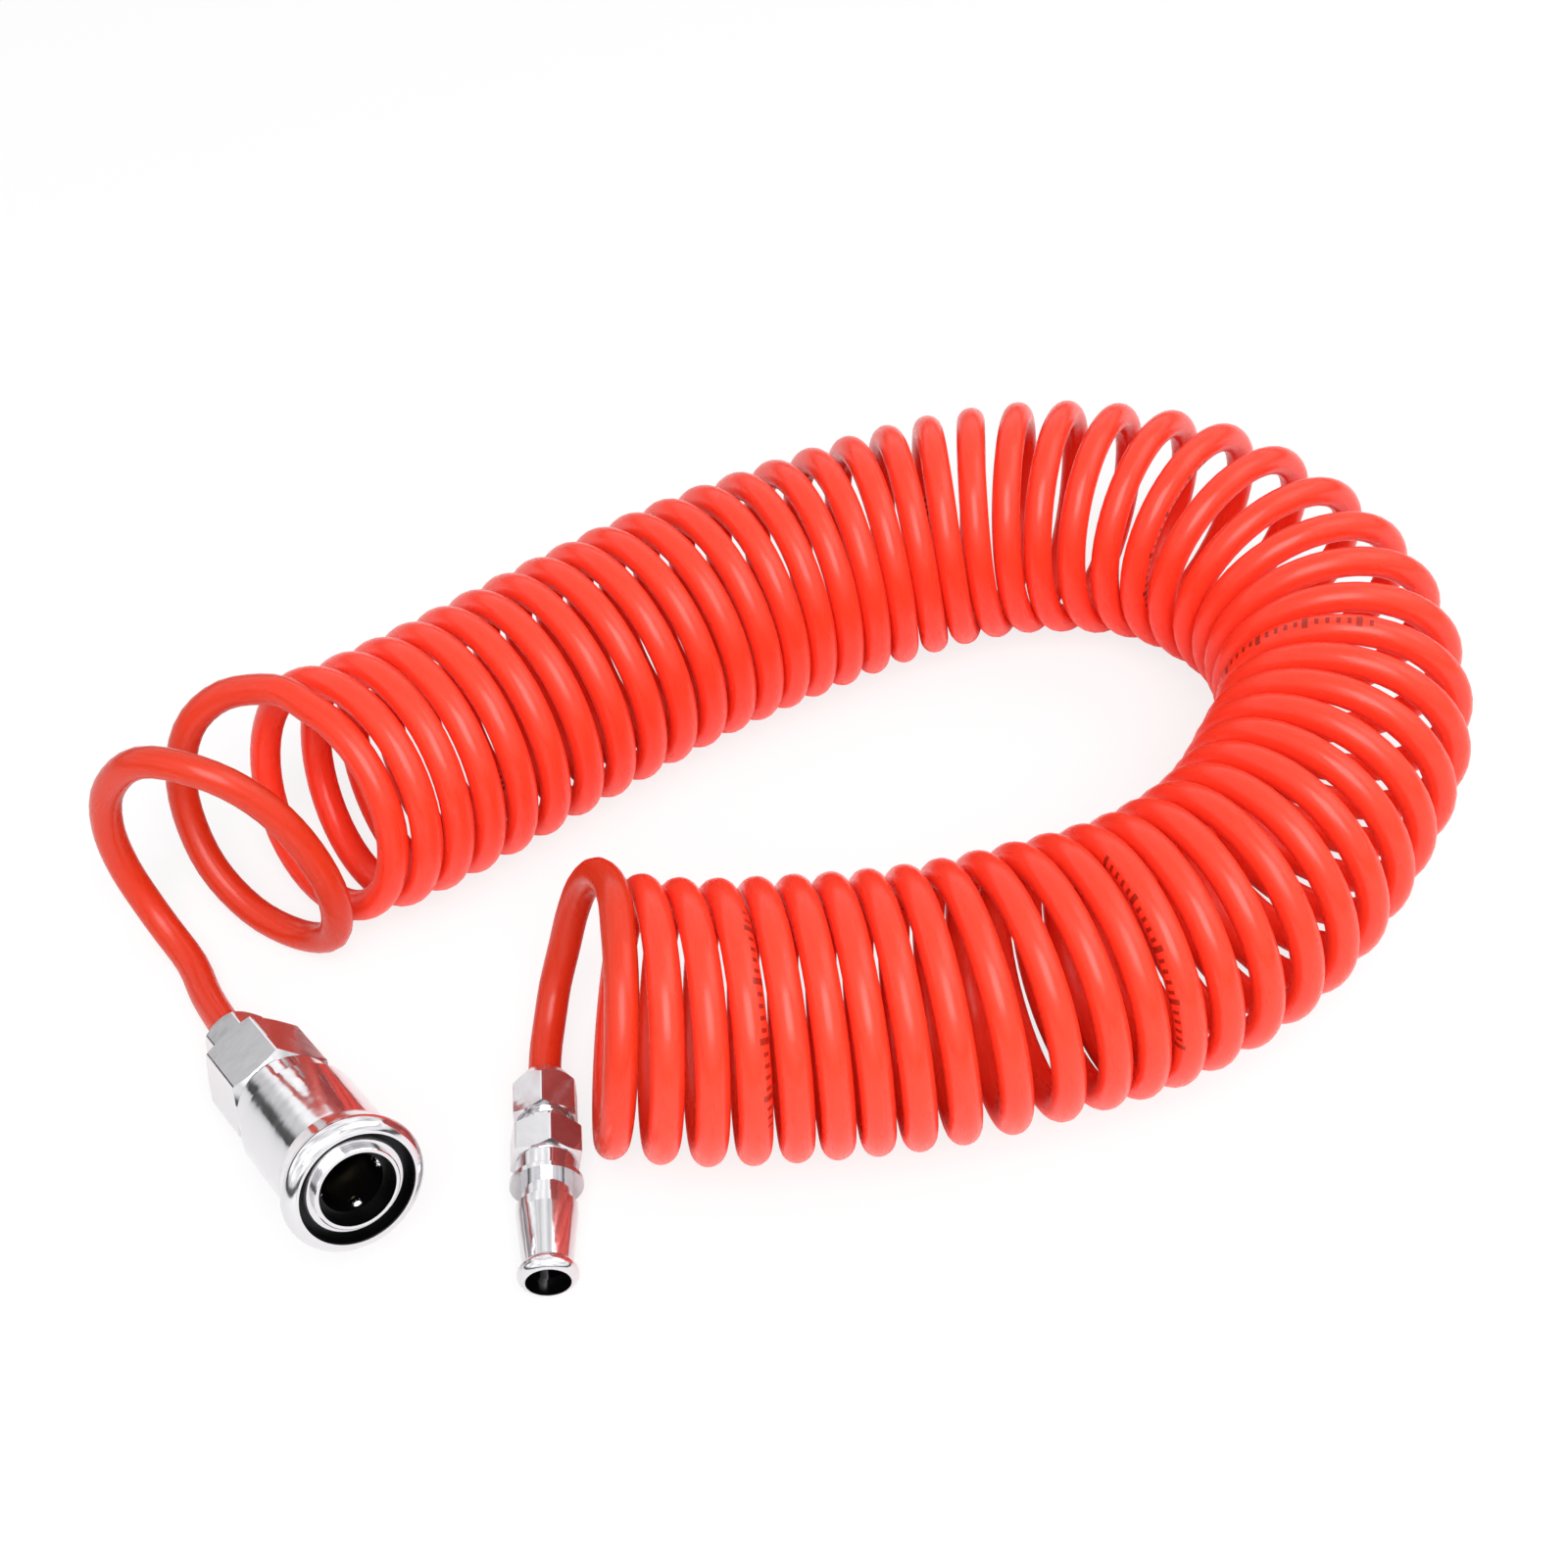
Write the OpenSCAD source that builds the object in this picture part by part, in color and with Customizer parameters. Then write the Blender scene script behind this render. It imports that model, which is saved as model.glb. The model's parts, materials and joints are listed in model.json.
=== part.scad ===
// Coiled air hose with a quick coupler plug on one end and a quick coupler socket on the other.
// Millimetres. The origin lies on the floor, under the middle of the two couplers.
// +Y points away from the couplers across the coil, +Z points up.

/* [Hose] */
// outer diameter of the hose
hose_d = 6.5; // [6.2:0.1:6.8]
// bore of the hose
hose_bore = 4; // [3.6:0.1:4.4]
// diameter of a curl, measured on the middle line of the hose
curl_d = 48.5; // [46:0.5:52]
// length of hose that shows behind a cap nut before the free stretch starts
hose_proud = 1.5; // [1:0.1:3]

/* [Hose grip] */
// width across the flats of a cap nut
nut_af = 12; // [11.6:0.1:14]
// length of a cap nut
nut_len = 11; // [10:0.5:14]
// diameter of a cap nut's back face
nut_back_d = 8.6; // [8:0.1:10]
// length of the taper behind the nut's flats
nut_taper = 3.5; // [2:0.1:5]
// thickness of the nut's back wall, round the hose
nut_wall = 2; // [1.5:0.1:2.6]
// outer diameter of the thread under a cap nut
thread_d = 10; // [9.4:0.1:10.4]
// length of that thread inside the nut
thread_len = 5; // [4:0.1:6]
// length of the hose stem behind the thread
stem_len = 4.5; // [4:0.1:5]
// bore through the hose stem
stem_bore = 2.6; // [2:0.1:3]
// height of the stem's barb
barb_rise = 0.4; // [0.2:0.05:0.6]

/* [Plug] */
// length of plug between the cap nut and the hexagon
plug_neck = 2.3; // [1.5:0.1:4]
// width across the flats of the plug's hexagon
plug_af = 13; // [12.6:0.1:14]
// length of the plug's hexagon
plug_hex_len = 7.5; // [5:0.1:10]
// diameter of the collar in front of the hexagon
collar_d = 11.9; // [11:0.1:12.4]
// length of the collar
collar_len = 4; // [3:0.1:6]
// height of the flange that stops in the socket's mouth, above the nose
flange_rise = 1.2; // [0.9:0.05:1.4]
// thickness of that flange
flange_len = 1.2; // [1:0.1:2]
// diameter at the bottom of the ball groove
groove_d = 9.8; // [9.4:0.1:10]
// width of the ball groove
groove_len = 4.7; // [4.2:0.1:5.4]
// diameter of the nose next to the ball groove
nose_d = 11.7; // [11.4:0.1:11.8]
// length of the straight part of the nose
nose_land = 2; // [1.5:0.1:3]
// length of the tapered part of the nose
nose_taper = 11; // [9:0.5:14]
// diameter at the thin end of the taper
nose_end_d = 9.4; // [8.8:0.1:10]
// diameter of the rounded lip at the tip
lip_d = 11.6; // [11.2:0.1:11.7]
// length of the rounded lip
lip_len = 3.5; // [2.8:0.1:3.8]
// diameter of the wide mouth of the plug's bore
plug_mouth_d = 8.6; // [8:0.1:9]
// depth of that mouth
plug_mouth_depth = 3; // [2:0.1:3.4]
// bore of the plug
plug_bore = 6.2; // [5.4:0.1:6.8]

/* [Socket body] */
// radial gap between the plug's flange and the mouth of the socket
mouth_gap = 0.4; // [0.3:0.05:0.5]
// depth of the mouth of the socket
mouth_depth = 2.8; // [2.6:0.1:3.4]
// radial gap between the plug's widest part and the socket's bore
bore_gap = 0.15; // [0.1:0.01:0.25]
// room behind the tip of an inserted plug
end_gap = 0.4; // [0.3:0.1:1]
// thickness of the rib that the valve closes on
seat_len = 2; // [1.5:0.1:3]
// height of the body's shoulder above its nose, the room for the sleeve spring
spring_room = 1.85; // [1.5:0.05:2.2]
// wall between the valve's chamber and the outside
chamber_wall = 2.9; // [2.5:0.1:3.2]
// length of the thread between the body and the adapter
body_thread = 4; // [3:0.1:5]
// how far that thread lies outside the valve's chamber
thread_room = 0.9; // [0.7:0.1:1.1]
// length of body that stays bare behind a sleeve that is pulled back
bare_len = 2; // [1:0.1:3]

/* [Ball lock] */
// diameter of a locking ball
ball_d = 3.2; // [3:0.05:3.4]
// how far a locked ball stands out into the bore
ball_reach = 0.95; // [0.8:0.05:1]
// radial gap round a ball in its pocket
ball_gap = 0.05; // [0.04:0.01:0.1]
// travel of the sleeve
sleeve_travel = 4.5; // [4:0.1:5]
// how far a ball moves outwards over that travel
ball_lift = 1; // [0.95:0.01:1.1]

/* [Sleeve] */
// wall of the sleeve round the body
sleeve_wall = 1.5; // [1.2:0.1:1.8]
// height of the sleeve's front flange above that wall
rim_rise = 1.9; // [1.5:0.1:2.4]
// room round the retaining ring in the sleeve's front opening
ring_room = 1.65; // [1.2:0.05:1.8]
// length of the flange's rounded edge
sleeve_edge = 5; // [4:0.1:6]
// length over which the flange runs out into the sleeve's wall
sleeve_waist = 6; // [4:0.1:8]
// length of the land that holds the balls in
land_len = 3.8; // [3:0.1:5]
// length over which the sleeve is guided by the body's shoulder
guide_len = 4.1; // [3:0.1:6]
// gap between sliding pieces
slide_gap = 0.1; // [0.08:0.01:0.12]
// thickness of the retaining ring along the axis
ring_len = 1.2; // [1:0.1:1.2]
// how far the retaining ring stands above the nose of the body
ring_rise = 1.3; // [1.1:0.05:1.4]
// how deep the retaining ring sits in its groove
ring_seat = 0.35; // [0.25:0.05:0.4]
// wire of the sleeve spring
sleeve_wire = 1.1; // [0.8:0.1:1.2]

/* [Valve] */
// travel of the valve when a plug opens it
valve_travel = 4; // [3.5:0.1:4.5]
// radial gap between the valve's pusher and the plug's mouth
pusher_gap = 0.2; // [0.15:0.05:0.4]
// wall of the valve's pusher
pusher_wall = 0.9; // [0.7:0.1:1.2]
// radial gap between the pusher and the rib
seat_gap = 0.4; // [0.3:0.05:0.5]
// thickness of the seal ring on the valve
seal_len = 1; // [0.8:0.1:1.4]
// thickness of the valve's head
head_len = 2; // [1.5:0.1:2.5]
// radial room round the valve's head
head_gap = 0.8; // [0.7:0.1:1]
// diameter of a port in the pusher
port_d = 3; // [2.4:0.1:3.2]
// length of the valve spring with the valve closed
valve_spring_len = 10.6; // [10:0.1:12]
// wire of the valve spring
valve_wire = 0.9; // [0.7:0.1:1]

/* [Adapter] */
// how much narrower the adapter's hexagon is across its flats than the body
adapter_step = 1.2; // [0.6:0.1:1.6]
// length of the adapter's hexagon
adapter_len = 17; // [14:0.5:20]
// thickness of the gasket between the adapter and the body
gasket_len = 1; // [0.8:0.1:1.5]
// length of adapter between the hexagon and the cap nut
adapter_neck = 2; // [1.5:0.1:4]
// width of the packing ring
packing_len = 2.4; // [2:0.1:2.6]
// depth of the groove that the packing ring lies in
packing_depth = 1.2; // [1:0.1:1.3]
// how far the packing ring grips the lip of the plug
packing_grip = 0.15; // [0.1:0.01:0.2]

/* [Hidden] */
$fn = 72;
close = 0.05;                        // radial gap of turned pieces that stay together
tiny = 0.01;
chamfer = 0.4;
break_edge = 0.3;                    // broken edge of a turned piece
fine_edge = 0.2;                     // broken edge where two diameters lie close together
hex_face = 0.94;                     // a hexagon's turned face as a share of its flats

// hose grip, measured from the cap nut's back face
hose_r = hose_d / 2;
bore_r = hose_bore / 2;
hose_wall = hose_r - bore_r;
stem_r = bore_r - close;
thread_r = thread_d / 2;
thread_face = nut_len - thread_len;
stem_tip = thread_face - stem_len;
barb_relief = 1;                     // bare stem between the barb and the thread
barb_back = thread_face - barb_relief;
barb_crest = barb_back - 1.4;
barb_front = barb_crest - 1;

// plug, measured from the cap nut's back face
flange_d = nose_d + 2 * flange_rise;
plug_hex_at = nut_len + plug_neck;
collar_at = plug_hex_at + plug_hex_len;
flange_at = collar_at + collar_len;
groove_at = flange_at + flange_len;
nose_at = groove_at + groove_len;
taper_at = nose_at + nose_land;
lip_at = taper_at + nose_taper;
plug_len = lip_at + lip_len;
plug_reach = plug_len - groove_at;   // what enters the socket beyond the flange

// socket, measured as depth from the mouth
mouth_r = flange_d / 2 + mouth_gap;
socket_bore_r = max(nose_d, lip_d) / 2 + bore_gap;
ball_at = mouth_depth + groove_len / 2;
ball_r = ball_d / 2;
ball_circle = socket_bore_r - ball_reach + ball_r;
body_nose_r = ball_circle + ball_r;
tip_depth = mouth_depth + plug_reach;
seat_at = tip_depth + end_gap;
shoulder_at = seat_at;
body_r = body_nose_r + spring_room;
chamber_at = seat_at + seat_len;
chamber_r = body_r - chamber_wall;

// sleeve, at rest, in the same depths
land_gap = 0.07;                     // between the land and the nose of the body
land_r = body_nose_r + land_gap;
cone_slope = ball_lift / sleeve_travel;
ring_back = mouth_depth - fine_edge;
ring_front = ring_back - ring_len;
stop_at = ring_back + slide_gap;
cone_len = ball_at - stop_at;
cone_r = land_r + cone_len * cone_slope;
spring_at = ball_at + land_len;
guide_r = body_r + slide_gap;
wall_r = guide_r + sleeve_wall;
rim_r = wall_r + rim_rise;
opening_r = body_nose_r + ring_rise + ring_room;
sleeve_len = shoulder_at + guide_len;
body_len = sleeve_len + sleeve_travel + bare_len;

// valve, closed, in the same depths
pusher_r = plug_mouth_d / 2 - pusher_gap;
pusher_at = tip_depth - plug_mouth_depth - valve_travel;
seat_r = pusher_r + seat_gap;
head_at = chamber_at + seal_len;
head_r = chamber_r - head_gap;
head_back = head_at + head_len;
boss_r = pusher_r - 0.3;             // the valve spring's seat on the back of the head
boss_len = 1.6;

// adapter, in the same depths
adapter_af = 2 * body_r - adapter_step;
gasket_r = adapter_af / 2 - break_edge;
hex_at = body_len + gasket_len;
spigot_at = body_len - body_thread;
spigot_r = chamber_r + thread_room;
cup_gap = 0.4;                       // between the valve's head and the cup behind it
cup_r = head_r + cup_gap;
cup_at = head_back + valve_spring_len;
neck_at = hex_at + adapter_len;
socket_len = neck_at + adapter_neck + nut_len;
packing_at = tip_depth - lip_len / 2 - packing_len / 2;
packing_r = socket_bore_r + packing_depth;

// where the couplers lie: the middle of the nut's back face, and the way the coupler points
plug_turn = 5;
socket_turn = 34;
socket_tilt = 18;
plug_at = [29.2, 16.2, flange_d / 2];
socket_rise = max(nut_af, adapter_af - 2 * (nut_len + adapter_neck) * tan(socket_tilt)) / 2;
socket_at = [-35.1, 28.4, socket_rise * cos(socket_tilt)];
plug_way = [sin(plug_turn), -cos(plug_turn), 0];
socket_way = [sin(socket_turn) * cos(socket_tilt), -cos(socket_turn) * cos(socket_tilt), sin(socket_tilt)];

// how the coil is laid: turn number, middle of the curl in plan, heading of its axis, and how far
// the top of the curl leans along that heading
laid = [
    [0, -24, 72, 51.5, 14.5], [1.5, -11, 78.5, 41.5, 10.5], [3, -1, 85.5, 38.5, 7.5],
    [5, 12, 96, 37.5, 4], [7, 25.5, 107.5, 36.5, 1], [11, 52, 128.5, 34, -1],
    [15, 81, 146.5, 21, -2], [19, 114, 162.5, 0.5, -8], [22, 142.5, 168, -21, -8.5],
    [25, 172.5, 161, -44, -3.5], [28, 194.5, 135, -73.5, 5], [31, 198, 101, -105, 4],
    [34, 186, 73, -127, 3], [37, 170, 49.5, -144.5, 2], [40, 149.5, 33.5, -157, 2],
    [43, 128.5, 25, -160.5, 2.5], [46, 104, 18, -171, 2.5], [50, 74, 14.5, -172.5, -1.5],
    [52, 58, 14, -172, -6.5], [54, 41.5, 16, -175, -10.5]
];
first_turn = laid[0][0];
last_turn = laid[len(laid) - 1][0];
curl_steps = 8;
curl_sides = 6;
curl_r = curl_d / 2;
floor_cut = hose_d / 10;
curl_rise = curl_r + hose_r - floor_cut;

// the free stretches, from the coil to the couplers
socket_route = [
    [-33, 84, 49], [-40.5, 85.5, 45.5], [-47, 84.5, 39.5], [-50.5, 82, 31],
    [-50.5, 77.5, 21.5], [-45.5, 70, 11], [-36, 62.5, 4.5], [-25.5, 56.5, 4],
    [-17, 51, 10.5], [-15, 49.5, 24], [-19.5, 51.5, 37], [-26.5, 53, 47],
    [-36, 54, 54], [-49.5, 57.5, 54], [-58.5, 60.5, 44], [-61.5, 61.5, 32.5],
    [-60.5, 61, 20.5], [-54.5, 56.5, 9], [-47, 48.5, 4], [-42.5, 40, 3.5]
];
plug_route = [
    [43, 31, 48.5], [40, 37, 44], [37, 39.5, 37.5], [34.5, 39.5, 29.5],
    [32.5, 37.5, 21.5], [30.5, 33.5, 14.5], [29.5, 28, 10], [29, 22.5, 8]
];

// ---------- the coil ----------
function knot(i) = min(max(i, 0), len(laid) - 1);
function slope(i, c) = (laid[knot(i + 1)][c] - laid[knot(i - 1)][c])
    / (laid[knot(i + 1)][0] - laid[knot(i - 1)][0]);
function span(t, i = 0) = i >= len(laid) - 2 || t < laid[i + 1][0] ? i : span(t, i + 1);
function eased(t, c) = let (i = span(t), w = laid[i + 1][0] - laid[i][0], u = (t - laid[i][0]) / w)
    (2 * u ^ 3 - 3 * u ^ 2 + 1) * laid[i][c] + (u ^ 3 - 2 * u ^ 2 + u) * w * slope(i, c)
    + (3 * u ^ 2 - 2 * u ^ 3) * laid[i + 1][c] + (u ^ 3 - u ^ 2) * w * slope(i + 1, c);
function spoke(t) = let (h = eased(t, 3), lean = eased(t, 4), p = 360 * t)
    cos(p) * [sin(lean) * cos(h), sin(lean) * sin(h), cos(lean)] + sin(p) * [sin(h), -cos(h), 0];
function curl_axis(t) = let (h = eased(t, 3), lean = eased(t, 4))
    [cos(lean) * cos(h), cos(lean) * sin(h), -sin(lean)];
function curl_point(t) = [eased(t, 1), eased(t, 2), curl_rise] + curl_r * spoke(t);
function unit(v) = v / norm(v);
function curl_way(t) = unit(curl_point(t + tiny) - curl_point(t - tiny));

function ring(at, a, b, r, sides) =
    [for (k = [0:sides - 1]) at + r * (cos(360 * (k + 0.5) / sides) * a + sin(360 * (k + 0.5) / sides) * b)];

coil_start = curl_point(first_turn) - hose_d * curl_way(first_turn);
coil_end = curl_point(last_turn) + hose_d * curl_way(last_turn);
coil_n = (last_turn - first_turn) * curl_steps;

module skin(rings, sides) {
    n = len(rings);
    points = [for (r = rings) each r];
    walls = [for (i = [0:n - 2], k = [0:sides - 1])
        let (a = i * sides + k, b = i * sides + (k + 1) % sides, c = a + sides, d = b + sides)
        each [[a, b, d], [a, d, c]]];
    near = [for (k = [1:sides - 2]) [0, k + 1, k]];
    far = [for (k = [1:sides - 2]) [(n - 1) * sides, (n - 1) * sides + k, (n - 1) * sides + k + 1]];
    polyhedron(points, concat(walls, near, far), convexity = 10);
}

// least distance between the hose's middle line on one turn and on the next, less its diameter
function turn_gap() = min([for (i = [0:coil_n - 5], j = [i + 5:min(i + 11, coil_n)])
    norm(curl_point(first_turn + i / curl_steps) - curl_point(first_turn + j / curl_steps))]) - hose_d;

module hose_coil() {
    t0 = first_turn;
    t1 = last_turn;
    a0 = spoke(t0);
    a1 = spoke(t1);
    rings = concat(
        [ring(coil_start, a0, cross(a0, curl_way(t0)), hose_r, curl_sides)],
        [for (i = [0:coil_n]) let (t = t0 + i / curl_steps)
            ring(curl_point(t), spoke(t), curl_axis(t), hose_r, curl_sides)],
        [ring(coil_end, a1, cross(a1, curl_way(t1)), hose_r, curl_sides)]);
    color([0.95, 0.2, 0.1]) intersection() {
        skin(rings, curl_sides);
        translate([-500, -500, 0]) cube([1000, 1000, 200]);
    }
}

// ---------- the free stretches ----------
tail_sides = 8;
function along(p, i, way0, way1) = i == 0 ? way0 : i == len(p) - 1 ? way1
    : unit(unit(p[i + 1] - p[i]) + unit(p[i] - p[i - 1]));
function carried(v, w) = unit(v - (v * w) * w);
function sweep_rings(p, way0, way1, v0) =
    [for (i = 0, w = way0, v = carried(v0, way0); i < len(p);
        i = i + 1, w = i < len(p) ? along(p, i, way0, way1) : w, v = carried(v, w))
        ring(p[i], v, cross(v, w), hose_r, tail_sides)];

module hose_tail_socket() {
    way0 = -curl_way(first_turn);
    last = socket_at - hose_proud * socket_way;
    color([0.95, 0.3, 0.1])
        skin(sweep_rings(concat([coil_start], socket_route, [last]), way0, socket_way, spoke(first_turn)),
            tail_sides);
}

module hose_tail_plug() {
    way0 = curl_way(last_turn);
    last = plug_at - hose_proud * plug_way;
    color([0.95, 0.3, 0.1])
        skin(sweep_rings(concat([coil_end], plug_route, [last]), way0, plug_way, spoke(last_turn)),
            tail_sides);
}

// ---------- turned and hexagonal shapes ----------
module hexagon(af, length) cylinder(h = length, r = af / 2 / cos(30), $fn = 6);

// hexagon with both faces turned to a shallow cone
module chamfered_hexagon(af, length) {
    corner = af / 2 / cos(30);
    face = hex_face * af / 2;
    rise = (corner - face) * tan(30);
    intersection() {
        hexagon(af, length);
        rotate_extrude() polygon([[0, 0], [face, 0], [corner, rise], [corner, length - rise],
            [face, length], [0, length]]);
    }
}

// ---------- hose grip, shared by both couplers ----------
function stem_profile() = [[stem_bore / 2, stem_tip], [stem_r - break_edge, stem_tip],
    [stem_r, stem_tip + break_edge],
    [stem_r, barb_front], [stem_r + barb_rise, barb_crest], [stem_r + barb_rise, barb_back],
    [stem_r, barb_back], [stem_r, thread_face], [thread_r - chamfer, thread_face],
    [thread_r, thread_face + chamfer]];

module gripped_hose() {
    swell = bore_r + barb_rise;
    end = thread_face - fine_edge;
    color([0.95, 0.25, 0.1]) rotate_extrude() polygon([[bore_r, -hose_proud], [hose_r, -hose_proud],
        [hose_r, barb_front], [swell + hose_wall, barb_crest], [swell + hose_wall, barb_back],
        [hose_r, barb_back + 0.5], [hose_r, end], [bore_r, end], [bore_r, barb_back + 0.5],
        [swell, barb_back], [swell, barb_crest], [bore_r, barb_front]]);
}

module cap_nut() {
    corner = nut_af / 2 / cos(30);
    face = hex_face * nut_af / 2;
    hole_r = hose_r + 0.1;
    color([0.8, 0.8, 0.83]) difference() {
        intersection() {
            hexagon(nut_af, nut_len);
            rotate_extrude() polygon([[0, 0], [nut_back_d / 2, 0], [corner, nut_taper],
                [corner, nut_len - (corner - face) * tan(30)], [face, nut_len], [0, nut_len]]);
        }
        rotate_extrude() polygon([[0, -1], [hole_r, -1], [hole_r, nut_wall],
            [thread_r + close, nut_wall + thread_r + close - hole_r], [thread_r + close, nut_len + 1],
            [0, nut_len + 1]]);
    }
}

// ---------- plug ----------
module plug_body() {
    lip_r = lip_d / 2;
    round = lip_len / 2;
    step = plug_len - plug_mouth_depth;
    color([0.85, 0.85, 0.88]) difference() {
        union() {
            rotate_extrude() polygon(concat([[0, stem_tip]], [for (i = [1:9]) stem_profile()[i]],
                [[thread_r, plug_hex_at], [collar_d / 2, plug_hex_at], [collar_d / 2, flange_at],
                [flange_d / 2 - fine_edge, flange_at], [flange_d / 2, flange_at + fine_edge],
                [flange_d / 2, groove_at], [groove_d / 2, groove_at], [groove_d / 2, nose_at - chamfer],
                [nose_d / 2, nose_at], [nose_d / 2, taper_at], [nose_end_d / 2, lip_at],
                [lip_r - round, lip_at], [lip_r - round, plug_len], [0, plug_len]]));
            translate([0, 0, plug_hex_at]) chamfered_hexagon(plug_af, plug_hex_len);
            rotate_extrude() translate([lip_r - round, lip_at + round]) circle(round);
        }
        translate([0, 0, stem_tip - 1]) cylinder(h = plug_hex_at, d = stem_bore);
        translate([0, 0, nut_len + 1]) cylinder(h = plug_len, d = plug_bore);
        translate([0, 0, step]) cylinder(h = plug_mouth_depth + 1, d = plug_mouth_d);
    }
}

// ---------- socket ----------
module from_mouth() translate([0, 0, socket_len]) rotate([180, 0, 0]) children();

module ball_place(i) rotate([0, 0, 90 * i]) translate([ball_circle, 0, ball_at]) children();

module socket_body() {
    color([0.82, 0.82, 0.85]) difference() {
        rotate_extrude() polygon([
            [mouth_r, 0], [body_nose_r - fine_edge, 0], [body_nose_r, fine_edge],
            [body_nose_r, ring_front - close],
            [body_nose_r - ring_seat, ring_front - close], [body_nose_r - ring_seat, ring_back + close],
            [body_nose_r, ring_back + close], [body_nose_r, shoulder_at], [body_r, shoulder_at],
            [body_r, body_len - chamfer], [body_r - chamfer, body_len], [spigot_r + close, body_len],
            [spigot_r + close, spigot_at - break_edge], [chamber_r, spigot_at - break_edge],
            [chamber_r, chamber_at],
            [seat_r, chamber_at], [seat_r, seat_at], [socket_bore_r, seat_at],
            [socket_bore_r, packing_at + packing_len + close], [packing_r, packing_at + packing_len + close],
            [packing_r, packing_at - close], [socket_bore_r, packing_at - close],
            [socket_bore_r, mouth_depth], [mouth_r, mouth_depth]]);
        for (i = [0:3]) ball_place(i) {
            sphere(r = ball_r + ball_gap);
            rotate([0, 90, 0]) cylinder(h = ball_d * 2, r = ball_r + ball_gap);
        }
    }
}

module retaining_ring() {
    inner = body_nose_r - ring_seat + close;
    outer = body_nose_r + ring_rise;
    color([0.9, 0.9, 0.92]) rotate_extrude() polygon([[inner, ring_front], [outer - break_edge, ring_front],
        [outer, ring_front + break_edge], [outer, ring_back], [inner, ring_back]]);
}

module plug_packing() {
    lip_r = lip_d / 2;
    contact = 0.4;
    color([0.1, 0.1, 0.1]) rotate_extrude() polygon([
        [lip_r - packing_grip, packing_at + packing_len / 2 - contact],
        [socket_bore_r, packing_at], [packing_r - close, packing_at],
        [packing_r - close, packing_at + packing_len], [socket_bore_r, packing_at + packing_len],
        [lip_r - packing_grip, packing_at + packing_len / 2 + contact]]);
}

module locking_ball(i) color([0.75, 0.75, 0.8]) ball_place(i) sphere(r = ball_r);

module sleeve() {
    edge_r = sleeve_edge / 2;
    edge_at = rim_r - edge_r;
    back_edge = 0.5;
    color([0.85, 0.85, 0.9]) difference() {
        rotate_extrude() difference() {
            union() {
                translate([land_r, 0]) square([wall_r - land_r, sleeve_len]);
                translate([land_r, 0]) square([edge_at - land_r, sleeve_edge]);
                translate([edge_at, edge_r]) circle(edge_r);
                polygon([[wall_r - tiny, edge_r], [edge_at + edge_r * cos(30), edge_r + edge_r * sin(30)],
                    [wall_r - tiny, edge_r + sleeve_waist]]);
            }
            translate([0, -1]) square([opening_r, stop_at + 1]);
            polygon([[0, stop_at - tiny], [cone_r, stop_at - tiny], [cone_r, stop_at], [land_r, ball_at],
                [land_r, spring_at], [guide_r, spring_at], [guide_r, sleeve_len + 1], [0, sleeve_len + 1]]);
        }
        rotate_extrude() polygon([[wall_r - back_edge, sleeve_len + tiny], [wall_r + 1, sleeve_len + tiny],
            [wall_r + 1, sleeve_len - back_edge - tiny], [wall_r, sleeve_len - back_edge - tiny]]);
    }
}

// radius of a faceted spring that stands free between two walls, its flats lying further in than its corners
function wound_r(inner, outer) = (inner + outer) / (1 + cos(180 / curl_steps));

// wire wound round the axis, with one close turn at each end
spring_turns = 6;
function wound(t, turns, length, wire) =
    let (closed = wire + 0.45, open = (length - wire - 2 * closed) / (turns - 2))
    wire / 2 + (t < 1 ? closed * t : t > turns - 1 ? length - wire - closed * (turns - t)
        : closed + open * (t - 1));
module spring(r, wire, length, turns) {
    function at(t) = [r * cos(360 * t), r * sin(360 * t), wound(t, turns, length, wire)];
    function way(t) = unit(at(t + tiny) - at(t - tiny));
    n = turns * curl_steps;
    function out(t) = [cos(360 * t), sin(360 * t), 0];
    rings = concat(
        [ring(at(0) - [0, wire, 0], out(0), [0, 0, 1], wire / 2, curl_sides)],
        [for (i = [0:n]) let (t = i / curl_steps) ring(at(t), out(t), [0, 0, 1], wire / 2, curl_sides)],
        [ring(at(turns) + [0, wire, 0], out(turns), [0, 0, 1], wire / 2, curl_sides)]);
    skin(rings, curl_sides);
}

module sleeve_spring() color([0.6, 0.6, 0.62])
    translate([0, 0, spring_at + close])
        spring(wound_r(body_nose_r, guide_r), sleeve_wire, shoulder_at - spring_at - 2 * close,
            spring_turns);

module valve_spring() color([0.6, 0.6, 0.62])
    translate([0, 0, head_back + close])
        spring(wound_r(boss_r, cup_r), valve_wire, valve_spring_len - 2 * close, spring_turns);

module valve() {
    port_at = head_at - valve_travel / 2 - port_d / 3;
    color([0.75, 0.6, 0.35]) difference() {
        rotate_extrude() polygon([[0, head_at], [pusher_r - pusher_wall, head_at],
            [pusher_r - pusher_wall, pusher_at], [pusher_r - break_edge, pusher_at],
            [pusher_r, pusher_at + break_edge],
            [pusher_r, head_at], [head_r, head_at], [head_r, head_back - chamfer],
            [head_r - chamfer, head_back], [boss_r, head_back],
            [boss_r, head_back + boss_len], [0, head_back + boss_len]]);
        for (a = [0, 90]) translate([0, 0, port_at]) rotate([90, 0, a + 45])
            cylinder(h = 4 * pusher_r, d = port_d, center = true);
    }
}

module valve_seal() {
    color([0.12, 0.12, 0.12]) rotate_extrude() polygon([[pusher_r + close, chamber_at],
        [head_r - fine_edge, chamber_at], [head_r - fine_edge, head_at], [pusher_r + close, head_at]]);
}

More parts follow.
